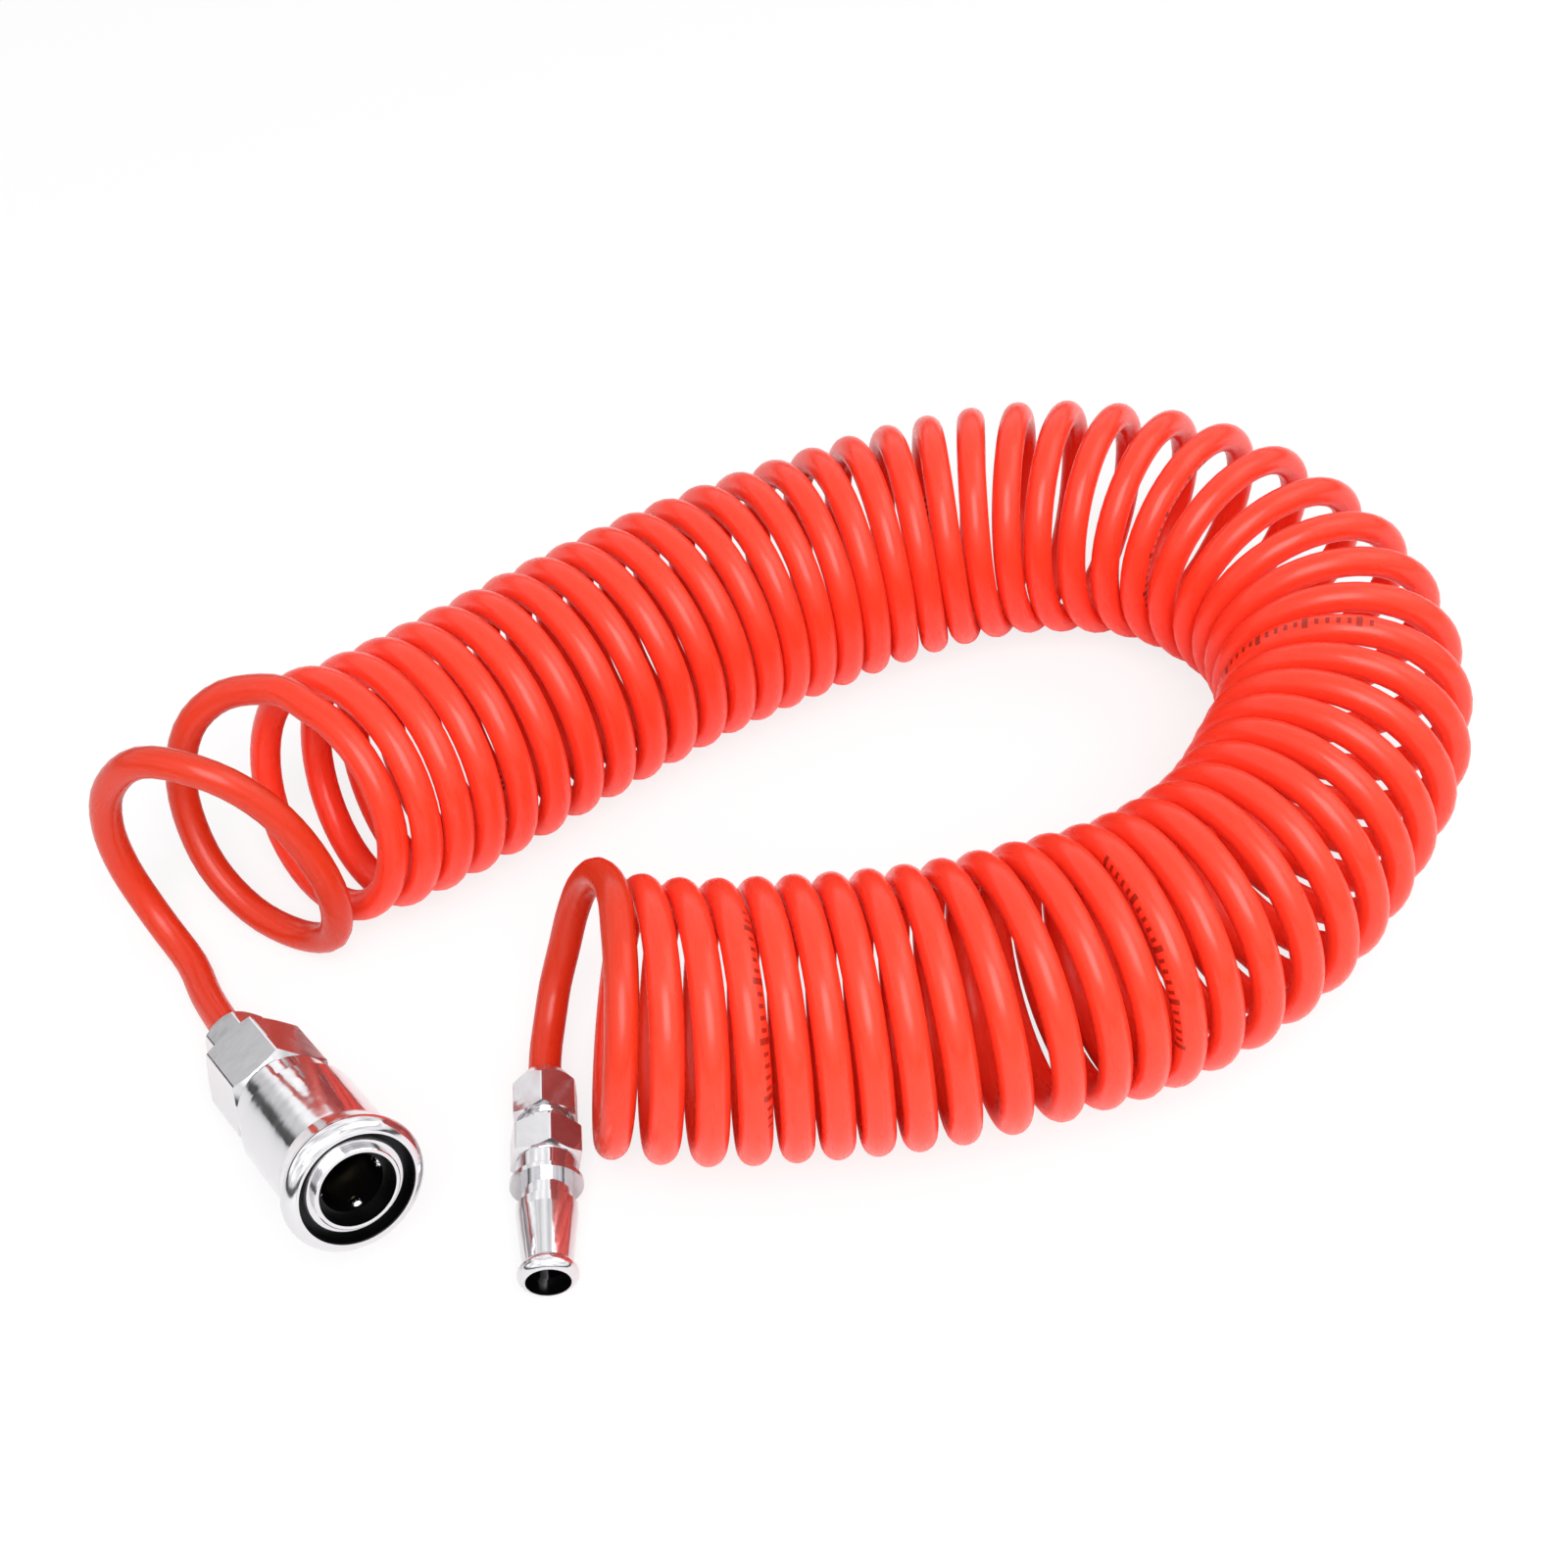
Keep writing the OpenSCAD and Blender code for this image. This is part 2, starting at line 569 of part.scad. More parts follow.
module adapter_gasket() {
    color([0.15, 0.15, 0.15]) rotate_extrude() polygon([[spigot_r + close, body_len],
        [gasket_r, body_len], [gasket_r, hex_at], [spigot_r + close, hex_at]]);
}

module socket_adapter() {
    color([0.8, 0.8, 0.83]) difference() {
        union() {
            translate([0, 0, hex_at]) chamfered_hexagon(adapter_af, adapter_len);
            rotate_extrude() polygon(concat([[0, spigot_at], [spigot_r - chamfer, spigot_at],
                [spigot_r, spigot_at + chamfer], [spigot_r, neck_at - 1], [thread_r, neck_at - 1]],
                [for (i = [9:-1:1]) [stem_profile()[i][0], socket_len - stem_profile()[i][1]]],
                [[0, socket_len - stem_tip]]));
        }
        translate([0, 0, spigot_at - 1]) cylinder(h = cup_at - spigot_at + 1, r = cup_r);
        translate([0, 0, cup_at - tiny]) cylinder(h = socket_len, d = stem_bore);
    }
}

// ---------- placing ----------
module at_plug() translate(plug_at) rotate([0, 0, plug_turn]) rotate([90, 0, 0]) children();
module at_socket() translate(socket_at) rotate([0, 0, socket_turn]) rotate([90 - socket_tilt, 0, 0])
    children();
module in_socket() at_socket() from_mouth() children();

union() {
    echo("least gap of the coil to itself, mm", turn_gap());
    hose_coil();
}
hose_tail_plug();
hose_tail_socket();
at_plug() gripped_hose();  // hose_end_plug
at_socket() gripped_hose();  // hose_end_socket
at_plug() cap_nut();  // plug_nut
at_plug() plug_body();
at_socket() cap_nut();  // socket_nut
in_socket() socket_adapter();
in_socket() adapter_gasket();
in_socket() socket_body();
in_socket() retaining_ring();
in_socket() plug_packing();
in_socket() sleeve();
in_socket() sleeve_spring();
in_socket() locking_ball(0);  // ball_1
in_socket() locking_ball(1);  // ball_2
in_socket() locking_ball(2);  // ball_3
in_socket() locking_ball(3);  // ball_4
in_socket() valve();
in_socket() valve_seal();
in_socket() valve_spring();
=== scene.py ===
"""Coiled polyurethane air hose with a quick coupler plug and a quick coupler socket.

Laid out as an add-on and run as a script. Everything is in metres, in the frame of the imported
model: +Z is up, the origin lies on the floor under the middle of the two couplers, and the coil is
laid towards +Y.
"""

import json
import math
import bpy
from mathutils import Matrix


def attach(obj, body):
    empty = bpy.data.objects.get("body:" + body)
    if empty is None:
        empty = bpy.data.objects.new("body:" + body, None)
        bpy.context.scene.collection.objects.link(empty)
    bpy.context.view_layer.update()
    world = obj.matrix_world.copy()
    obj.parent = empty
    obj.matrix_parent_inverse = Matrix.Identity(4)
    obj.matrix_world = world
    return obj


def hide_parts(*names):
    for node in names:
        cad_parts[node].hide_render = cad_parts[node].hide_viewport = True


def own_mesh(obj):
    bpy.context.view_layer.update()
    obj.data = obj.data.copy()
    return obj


bl_info = {
    "name": "Coiled air hose",
    "version": (1, 0, 0),
    "blender": (4, 5, 0),
    "location": "View3D > Sidebar > Air hose",
    "description": "Builds a curled air hose and finishes its quick couplers",
    "category": "Object",
}

import bmesh
import bpy
import numpy as np
from bpy.props import FloatProperty, FloatVectorProperty, IntProperty, PointerProperty
from mathutils import Matrix, Vector

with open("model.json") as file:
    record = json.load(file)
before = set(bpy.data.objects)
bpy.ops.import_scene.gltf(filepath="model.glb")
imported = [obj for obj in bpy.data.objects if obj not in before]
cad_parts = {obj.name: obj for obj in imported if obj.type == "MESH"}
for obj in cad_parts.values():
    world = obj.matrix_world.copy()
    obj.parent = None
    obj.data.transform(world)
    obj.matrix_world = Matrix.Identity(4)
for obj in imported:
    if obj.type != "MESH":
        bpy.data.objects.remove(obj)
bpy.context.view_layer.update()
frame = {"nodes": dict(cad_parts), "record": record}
BODY = "hose_and_couplers"
MM = 0.001

# How the coil is laid: turn number, middle of the curl in plan (mm), heading of its axis, and how
# far the top of the curl leans along that heading (degrees).
LAID = (
    (0, -24, 72, 51.5, 14.5), (1.5, -11, 78.5, 41.5, 10.5), (3, -1, 85.5, 38.5, 7.5),
    (5, 12, 96, 37.5, 4), (7, 25.5, 107.5, 36.5, 1), (11, 52, 128.5, 34, -1),
    (15, 81, 146.5, 21, -2), (19, 114, 162.5, 0.5, -8), (22, 142.5, 168, -21, -8.5),
    (25, 172.5, 161, -44, -3.5), (28, 194.5, 135, -73.5, 5), (31, 198, 101, -105, 4),
    (34, 186, 73, -127, 3), (37, 170, 49.5, -144.5, 2), (40, 149.5, 33.5, -157, 2),
    (43, 128.5, 25, -160.5, 2.5), (46, 104, 18, -171, 2.5), (50, 74, 14.5, -172.5, -1.5),
    (52, 58, 14, -172, -6.5), (54, 41.5, 16, -175, -10.5),
)
# The free stretches from the coil to the couplers (mm).
SOCKET_ROUTE = (
    (-33, 84, 49), (-40.5, 85.5, 45.5), (-47, 84.5, 39.5), (-50.5, 82, 31), (-50.5, 77.5, 21.5),
    (-45.5, 70, 11), (-36, 62.5, 4.5), (-25.5, 56.5, 4), (-17, 51, 10.5), (-15, 49.5, 24),
    (-19.5, 51.5, 37), (-26.5, 53, 47), (-36, 54, 54), (-49.5, 57.5, 54), (-58.5, 60.5, 44),
    (-61.5, 61.5, 32.5), (-60.5, 61, 20.5), (-54.5, 56.5, 9), (-47, 48.5, 4), (-42.5, 40, 3.5),
)
PLUG_ROUTE = (
    (43, 31, 48.5), (40, 37, 44), (37, 39.5, 37.5), (34.5, 39.5, 29.5), (32.5, 37.5, 21.5),
    (30.5, 33.5, 14.5), (29.5, 28, 10), (29, 22.5, 8),
)
# Where the couplers lie: middle of the cap nut's back face, and the way the coupler points.
PLUG_AT = np.array([29.2, 16.2, 7.05]) * MM
PLUG_TURN = math.radians(5)
SOCKET_TURN = math.radians(34)
SOCKET_TILT = math.radians(18)
SOCKET_AT = np.array([-35.1, 28.4, 5.706]) * MM
PLUG_WAY = np.array([math.sin(PLUG_TURN), -math.cos(PLUG_TURN), 0.0])
SOCKET_WAY = np.array([
    math.sin(SOCKET_TURN) * math.cos(SOCKET_TILT),
    -math.cos(SOCKET_TURN) * math.cos(SOCKET_TILT),
    math.sin(SOCKET_TILT),
])
HOSE_PROUD = 1.5 * MM  # straight hose behind a cap nut
NUT_WALL = 2 * MM  # the nut's back wall, round the hose
RINGS_PER_TURN = 48
FINE_STEPS = 8  # steps between two points of a route, for each point kept

# The hose end in a cap nut, from the nut's back face: the barb's front, crest and back, where the
# hose is round again behind it, and the end of the hose.
BARB_FRONT, BARB_CREST, BARB_BACK, BARB_PAST, HOSE_END = (
    2.6 * MM, 3.6 * MM, 5.0 * MM, 5.5 * MM, 5.8 * MM)
BARB_RISE = 0.4 * MM

# Rows of plain length ticks: middle of the row along the hose (mm), and how far round from the
# outside of the curl it lies (degrees).
TICK_ROWS = (
    (1095, 180), (2095, 180), (3095, 180), (4095, 255), (5008, 352), (6500, 290), (7300, 180),
    (8025, 45),
)
TICK_ROW = 42 * MM  # length of a row
# A tick and each fifth tick: from one to the next, width, and reach to either side (radians).
TICKS = ((2 * MM, 0.8 * MM, 0.24), (10 * MM, 1.2 * MM, 0.42))
TICK_STRENGTH = 0.75

# Scale of the skin's cosine, sine and distance along it, for the clouds and for the drawn lines.
CLOUDS, DRAWN = (1, 1, 60), (1, 1, 9)
# Where the painted shade of the two free ends, a deeper colour that stands in for the shade they
# lie in, passes into the coil's colour, along the hose.
SOCKET_END_SHADE = (0.22, 0.32)
PLUG_END_SHADE = (8.42, 8.49)

# How far each hexagon is turned about its coupler's axis, so that a corner shows (degrees), and
# how much of its long corners is broken off.
HEXAGONS = {
    "plug_nut": (32, 0.35 * MM),
    "plug_body": (19, 0.85 * MM),
    "socket_nut": (22, 0.35 * MM),
    "socket_adapter": (19.5, 0.35 * MM),
}
HEXAGON_CORNER = math.radians(50)  # a hexagon's edge is sharper than this
HEXAGON_LENGTH = 4 * MM  # and longer than this
HEXAGON_ALONG = 0.999  # and this near to the coupler's axis (cosine)
ONE_FACE = math.radians(0.5)  # faces that meet at a flatter angle are made one
# Faces that meet at a flatter angle are shaded as one, on a hexagon and on a turned piece.
HEXAGON_SMOOTH, TURNED_SMOOTH = math.radians(15), math.radians(35)

# Painted shade in the bores: a near-black colour stands in for the shade deep inside them. Radius,
# and from where to where along the coupler (mm).
PLUG_SHADED_BORES = ((4.4, 20.0, 47.1),)
BODY_SHADED_BORES = ((7.5, 30.0, 65.9),)
SLEEVE_SHADED_BORES = ((11.25, 50.0, 65.6),)
BORE_SHADE_ROUGHNESS = 0.3  # least roughness inside them
PLATING = 0.92  # how metallic the plating is; the rest is a thin haze

# Springs: turns, rings for each turn, sides of the wire, and the gap in a closed end turn.
SPRING_TURNS, SPRING_STEPS, SPRING_SIDES, SPRING_GAP = 6, 32, 12, 0.45 * MM

# Camera, floor, and lights: name, place, size and power (W).
SENSOR = 36.0
CLIP = (0.01, 20.0)
FLOOR_HALF = 3.0
FLOOR_GLOW = 0.8  # share of the floor's own even light, as on a light table
LIGHTS = (
    ("key_light", (0.15, -0.65, 1.0), 0.8, 14.0),
    ("fill_light", (0.8, 0.2, 0.9), 0.8, 3.5),
)
# The surround: its strength on soft surfaces, and the pale panels that metal sees over a dark band
# near the horizon: height from the horizon (0) to overhead (1) with its grey, and how a coarse
# noise (from, to) makes the panels stronger (from, to).
SURROUND = 0.5
BANDS = ((0.0, 0.01), (0.13, 0.02), (0.2, 0.6), (0.34, 1.0), (0.55, 0.72), (0.75, 0.95))
OVERHEAD = (0.8, 0.8, 0.81, 1)
PANEL_SCALE = 3.0
PANELS = (0.35, 0.65, 1.0, 2.1)


# ---------- sizes and colours ----------
class HoseLooks(bpy.types.PropertyGroup):
    """Sizes and colours of the hose"""

    diameter: FloatProperty(
        name="Diameter", description="Outside diameter of the hose", default=6.5 * MM,
        unit="LENGTH")
    bore: FloatProperty(
        name="Bore", description="Bore of the hose", default=4 * MM, unit="LENGTH")
    curl: FloatProperty(
        name="Curl", description="Diameter of a curl at the middle of the hose",
        default=48.5 * MM, unit="LENGTH")
    sides: IntProperty(name="Sides", description="Faces round the hose", default=24, min=8)
    colour: FloatVectorProperty(
        name="Colour", description="Colour of the polyurethane", default=(0.97, 0.05, 0.021),
        size=3, min=0, max=1, subtype="COLOR")
    # painted shade: the free ends get this deeper colour, which stands in for the shade they lie
    # in
    ends: FloatVectorProperty(
        name="Ends", description="Colour of the hose's free ends", default=(0.62, 0.034, 0.01),
        size=3, min=0, max=1, subtype="COLOR")
    mark: FloatVectorProperty(
        name="Ticks", description="Colour of the plain length ticks",
        default=(0.15, 0.008, 0.005), size=3, min=0, max=1, subtype="COLOR")


class CouplerLooks(bpy.types.PropertyGroup):
    """Colours of the couplers"""

    chrome: FloatVectorProperty(
        name="Chrome", description="Colour of the plating", default=(0.62, 0.615, 0.635),
        size=3, min=0, max=1, subtype="COLOR")
    brass: FloatVectorProperty(
        name="Brass", description="Colour of the valve", default=(0.8, 0.66, 0.42),
        size=3, min=0, max=1, subtype="COLOR")
    rubber: FloatVectorProperty(
        name="Rubber", description="Colour of the seals", default=(0.012, 0.012, 0.013),
        size=3, min=0, max=1, subtype="COLOR")
    # painted shade: the bores are coloured near black to stand in for the shade deep inside them
    bore: FloatVectorProperty(
        name="Bore", description="Colour of the blackened bores", default=(0.015, 0.015, 0.016),
        size=3, min=0, max=1, subtype="COLOR")


class StageLooks(bpy.types.PropertyGroup):
    """Camera, floor and light"""

    elevation: FloatProperty(
        name="Elevation", description="Height of the camera above the horizon",
        default=math.radians(45), subtype="ANGLE")
    distance: FloatProperty(
        name="Distance", description="From the camera to the aim", default=0.5217, unit="LENGTH")
    aim: FloatVectorProperty(
        name="Aim", description="Point on the floor that the camera looks at",
        default=(0.0765, 0.1055, 0.0), size=3, subtype="XYZ", unit="LENGTH")
    lens: FloatProperty(name="Lens", description="Focal length in millimetres", default=52.65)
    floor: FloatVectorProperty(
        name="Floor", description="Colour of the floor", default=(0.93, 0.93, 0.93),
        size=3, min=0, max=1, subtype="COLOR")


class AirHose(bpy.types.PropertyGroup):
    """Everything a user may change"""

    hose: PointerProperty(type=HoseLooks)
    coupler: PointerProperty(type=CouplerLooks)
    stage: PointerProperty(type=StageLooks)


# ---------- the hose's middle line ----------
def unit(v):
    return v / np.linalg.norm(v)


def laid_line(turns):
    """Middle of the curl in plan, heading and lean at each turn number, smooth through LAID."""
    table = np.array(LAID, float)
    t, values = table[:, 0], table[:, 1:]
    slope = np.empty_like(values)
    slope[1:-1] = (values[2:] - values[:-2]) / (t[2:] - t[:-2])[:, None]
    slope[0] = (values[1] - values[0]) / (t[1] - t[0])
    slope[-1] = (values[-1] - values[-2]) / (t[-1] - t[-2])
    i = np.clip(np.searchsorted(t, turns, "right") - 1, 0, len(t) - 2)
    w = (t[i + 1] - t[i])[:, None]
    u = ((turns - t[i]) / (t[i + 1] - t[i]))[:, None]
    eased = ((2 * u**3 - 3 * u**2 + 1) * values[i] + (u**3 - 2 * u**2 + u) * w * slope[i]
             + (3 * u**2 - 2 * u**3) * values[i + 1] + (u**3 - u**2) * w * slope[i + 1])
    return eased[:, :2] * MM, np.radians(eased[:, 2]), np.radians(eased[:, 3])


def spokes(turns, heading, lean):
    """Unit vectors from the middle of the curl to the hose."""
    p = 2 * math.pi * turns
    top = np.stack([
        np.sin(lean) * np.cos(heading), np.sin(lean) * np.sin(heading), np.cos(lean)], axis=1)
    side = np.stack([np.sin(heading), -np.cos(heading), 0 * heading], axis=1)
    return np.cos(p)[:, None] * top + np.sin(p)[:, None] * side


def curl_middles(turns, looks):
    """Middle of the curl in space, heading and lean at each turn number."""
    plan, heading, lean = laid_line(turns)
    rise = np.full(len(turns), (looks.curl + looks.diameter) / 2)
    return np.column_stack([plan, rise]), heading, lean


def smooth_through(points, spacing):
    """Even points on a centripetal curve from the second point given to the last but one."""
    p = np.array(points, float)
    knots = np.concatenate([[0], np.cumsum(np.linalg.norm(np.diff(p, axis=0), axis=1) ** 0.5)])
    made = []
    for i in range(1, len(p) - 2):
        t0, t1, t2, t3 = knots[i - 1:i + 3]
        steps = max(2, round(np.linalg.norm(p[i + 1] - p[i]) / spacing * FINE_STEPS))
        t = np.linspace(t1, t2, steps, endpoint=False)[:, None]
        a1 = (t1 - t) / (t1 - t0) * p[i - 1] + (t - t0) / (t1 - t0) * p[i]
        a2 = (t2 - t) / (t2 - t1) * p[i] + (t - t1) / (t2 - t1) * p[i + 1]
        a3 = (t3 - t) / (t3 - t2) * p[i + 1] + (t - t2) / (t3 - t2) * p[i + 2]
        b1 = (t2 - t) / (t2 - t0) * a1 + (t - t0) / (t2 - t0) * a2
        b2 = (t3 - t) / (t3 - t1) * a2 + (t - t1) / (t3 - t1) * a3
        made.append((t2 - t) / (t2 - t1) * b1 + (t - t1) / (t2 - t1) * b2)
    fine = np.concatenate(made + [p[-2:-1]])
    run = distance_along(fine)
    even = np.linspace(0, run[-1], round(run[-1] / spacing) + 1)
    return np.column_stack([np.interp(even, run, fine[:, k]) for k in range(3)])


def distance_along(points):
    return np.concatenate([[0], np.cumsum(np.linalg.norm(np.diff(points, axis=0), axis=1))])


def free_stretch(looks, turn, forward, route, nut_at, nut_way):
    """Middle line from the end of the coil into the back of a cap nut."""
    turns = turn - forward * np.array([0.0, 1, 2]) / RINGS_PER_TURN
    middles, heading, lean = curl_middles(turns, looks)
    near = middles + looks.curl / 2 * spokes(turns, heading, lean)
    start = near[0] + looks.diameter * unit(near[0] - near[1])
    points = [near[1], near[0], start, *(np.array(route) * MM)]
    points += [nut_at + depth * nut_way for depth in (-HOSE_PROUD, NUT_WALL, 3 * NUT_WALL)]
    return smooth_through(points, math.pi * looks.curl / RINGS_PER_TURN)


# ---------- geometry nodes ----------
def curled_hose_tree():
    """Winds a laid line into curls and gives it the hose's round section."""
    tree = bpy.data.node_groups.new("Curled hose", "GeometryNodeTree")
    tree.is_modifier = True
    face = tree.interface
    face.new_socket("Laid line", in_out="INPUT", socket_type="NodeSocketGeometry")
    for name, value in (("Hose radius", 3.25 * MM), ("Curl radius", 24.25 * MM)):
        socket = face.new_socket(name, in_out="INPUT", socket_type="NodeSocketFloat")
        socket.default_value = value
    face.new_socket("Sides", in_out="INPUT", socket_type="NodeSocketInt").default_value = 24
    face.new_socket("Material", in_out="INPUT", socket_type="NodeSocketMaterial")
    face.new_socket("Hose", in_out="OUTPUT", socket_type="NodeSocketGeometry")
    node, link = tree.nodes.new, tree.links.new
    given, made = node("NodeGroupInput"), node("NodeGroupOutput")

    def named(name):
        n = node("GeometryNodeInputNamedAttribute")
        n.data_type = "FLOAT"
        n.inputs["Name"].default_value = name
        return n.outputs["Attribute"]

    def maths(operation, *values):
        n = node("ShaderNodeMath")
        n.operation = operation
        for socket, value in zip(n.inputs, values):
            if isinstance(value, bpy.types.NodeSocket):
                link(value, socket)
            else:
                socket.default_value = value
        return n.outputs[0]

    turn = maths("MULTIPLY", named("turn"), 2 * math.pi)
    heading, lean = named("heading"), named("lean")
    reach = maths("MULTIPLY", named("wound"), given.outputs["Curl radius"])
    side = maths("MULTIPLY", maths("SINE", turn), reach)
    top = maths("MULTIPLY", maths("COSINE", turn), reach)
    over = maths("MULTIPLY", top, maths("SINE", lean))
    ahead, across = maths("COSINE", heading), maths("SINE", heading)
    offset = node("ShaderNodeCombineXYZ")
    x = maths("MULTIPLY_ADD", side, across, maths("MULTIPLY", over, ahead))
    y = maths("SUBTRACT", maths("MULTIPLY", over, across), maths("MULTIPLY", side, ahead))
    z = maths("MULTIPLY", top, maths("COSINE", lean))
    for axis, value in (("X", x), ("Y", y), ("Z", z)):
        link(value, offset.inputs[axis])

    wind = node("GeometryNodeSetPosition")
    link(given.outputs["Laid line"], wind.inputs["Geometry"])
    link(offset.outputs[0], wind.inputs["Offset"])
    curve = node("GeometryNodeMeshToCurve")
    link(wind.outputs[0], curve.inputs["Mesh"])
    section = node("GeometryNodeCurvePrimitiveCircle")
    section.mode = "RADIUS"
    link(given.outputs["Sides"], section.inputs["Resolution"])
    link(given.outputs["Hose radius"], section.inputs["Radius"])
    tube = node("GeometryNodeCurveToMesh")
    link(curve.outputs[0], tube.inputs["Curve"])
    link(section.outputs[0], tube.inputs["Profile Curve"])
    tube.inputs["Fill Caps"].default_value = True
    smooth = node("GeometryNodeSetShadeSmooth")
    link(tube.outputs[0], smooth.inputs["Geometry"])
    real = node("GeometryNodeRealizeInstances")
    link(smooth.outputs[0], real.inputs["Geometry"])
    paint = node("GeometryNodeSetMaterial")
    link(real.outputs[0], paint.inputs["Geometry"])
    link(given.outputs["Material"], paint.inputs["Material"])
    link(paint.outputs[0], made.inputs[0])
    return tree


def laid_object(context, points, facts):
    """A line of points, each with its facts on how the geometry tree winds it."""
    mesh = bpy.data.meshes.new("laid_line")
    mesh.from_pydata(points.tolist(), [(i, i + 1) for i in range(len(points) - 1)], [])
    for name, values in facts.items():
        attribute = mesh.attributes.new(name, "FLOAT", "POINT")
        attribute.data.foreach_set("value", values.astype(np.float32))
    line = bpy.data.objects.new("laid_line", mesh)
    context.scene.collection.objects.link(line)
    return line


def made_by(tree, line, name, settings):
    """Runs a geometry tree on a line object and returns its result as a plain mesh object."""
    modifier = line.modifiers.new(tree.name, "NODES")
    modifier.node_group = tree
    for item in tree.interface.items_tree:
        if item.in_out == "INPUT" and item.name in settings:
            modifier[item.identifier] = settings[item.name]
    graph = bpy.context.evaluated_depsgraph_get()
    mesh = bpy.data.meshes.new_from_object(line.evaluated_get(graph))
    mesh.name = name
    bpy.data.objects.remove(line)
    return linked(name, mesh)


def linked(name, mesh):
    obj = bpy.data.objects.new(name, mesh)
    bpy.context.scene.collection.objects.link(obj)
    return obj


# ---------- materials ----------
class Shader:
    """A material's node tree, with short calls for its nodes."""

    def __init__(self, name):
        self.material = bpy.data.materials.new(name)
        self.material.use_nodes = True
        self.tree = self.material.node_tree
        self.surface = self.tree.nodes["Principled BSDF"]

    def set(self, **values):
        for name, value in values.items():
            self.surface.inputs[name.replace("_", " ")].default_value = value
        return self

    def put(self, kind, socket=0, inputs=None, **settings):
        """Adds a node, sets or links its inputs, and returns one of its outputs."""
        node = self.tree.nodes.new(kind)
        for name, value in settings.items():
            setattr(node, name, value)
        for name, value in (inputs or {}).items():
            if isinstance(value, bpy.types.NodeSocket):
                self.tree.links.new(value, node.inputs[name])
            else:
                node.inputs[name].default_value = value
        return node.outputs[socket]

    def maths(self, operation, *values):
        return self.put("ShaderNodeMath", inputs=dict(enumerate(values)), operation=operation)

    def below(self, value, limit):
        return self.maths("LESS_THAN", value, limit)

    def part(self, vector, axis):
        return self.put("ShaderNodeSeparateXYZ", axis, {0: vector})

    def scaled(self, vector, factors):
        return self.put("ShaderNodeVectorMath", 0, {0: vector, 1: factors}, operation="MULTIPLY")

    def blend(self, share, low, high):
        # a Mix node has its colours in sockets 6 and 7, and the mixed colour in output 2
        return self.put("ShaderNodeMix", 2, {0: share, 6: low, 7: high}, data_type="RGBA")

    def between(self, value, low, high, to_low, to_high):
        ends = dict(enumerate((value, low, high, to_low, to_high)))
        return self.put("ShaderNodeMapRange", 0, ends)

    def attribute(self, name):
        return self.put("ShaderNodeAttribute", "Vector", attribute_name=name)

    def place(self):
        return self.put("ShaderNodeTexCoord", "Object")

    def noise(self, vector, scale, detail):
        return self.put(
            "ShaderNodeTexNoise", 0, {"Vector": vector, "Scale": scale, "Detail": detail})

    def drive(self, name, socket):
        self.tree.links.new(socket, self.surface.inputs[name])

    def bump(self, height, depth, strength):
        self.drive("Normal", self.put(
            "ShaderNodeBump", 0, {"Height": height, "Distance": depth, "Strength": strength}))

    def turned(self, at, way):
        """Object coordinates brought into a coupler's own frame, its axis along Z."""
        turn = Vector(way).to_track_quat("Z", "Y").to_matrix().to_4x4()
        back = (Matrix.Translation(Vector(at)) @ turn).inverted()
        return self.put("ShaderNodeMapping", 0, {
            "Vector": self.place(), "Location": back.to_translation(),
            "Rotation": back.to_euler("XYZ")})


def four(colour, factor=1.0):
    """A colour, made darker or paler, with full alpha."""
    return (*(c * factor for c in colour), 1.0)


def hose_polyurethane(looks):
    """Faintly clouded polyurethane with drawn lines along it, painted shade at the free ends as a
    deeper colour, and rows of ticks.
    """
    s = Shader("hose_polyurethane")
    s.set(Metallic=0.0, IOR=1.5, Specular_IOR_Level=0.3, Subsurface_Weight=0.25,
          Subsurface_Radius=(1.0, 0.2, 0.08), Subsurface_Scale=2 * MM)
    skin, mark = s.attribute("skin"), s.attribute("mark")
    along = s.part(skin, "Z")
    cloud = s.noise(s.scaled(skin, CLOUDS), scale=1.1, detail=3.0)
    # painted shade: a mask that gives the two free ends their deeper colour in place of shade
    ends = s.maths("MAXIMUM", s.between(along, *SOCKET_END_SHADE, 1.0, 0.0),
                   s.between(along, *PLUG_END_SHADE, 0.0, 1.0))
    body = s.blend(cloud, four(looks.colour, 0.92), four(looks.colour))
    body = s.blend(ends, body, four(looks.ends))

    aside = s.maths("ABSOLUTE", s.maths("ARCTAN2", s.part(mark, "Y"), s.part(mark, "X")))
    plain, fifth = (
        s.maths("MULTIPLY", s.below(s.maths("FLOORED_MODULO", along, step), width),
                s.below(aside, reach))
        for step, width, reach in TICKS)
    row = s.below(s.part(mark, "Z"), TICK_ROW / 2)
    ticks = s.maths("MULTIPLY", row, s.maths("MAXIMUM", plain, fifth))
    ticks = s.maths("MULTIPLY", ticks, TICK_STRENGTH)
    s.drive("Base Color", s.blend(ticks, body, four(looks.mark)))
    s.drive("Roughness", s.between(cloud, 0.3, 0.7, 0.22, 0.34))
    drawn = s.noise(s.scaled(skin, DRAWN), scale=6.0, detail=4.0)
    s.bump(drawn, depth=0.04 * MM, strength=0.5)
    return s.material


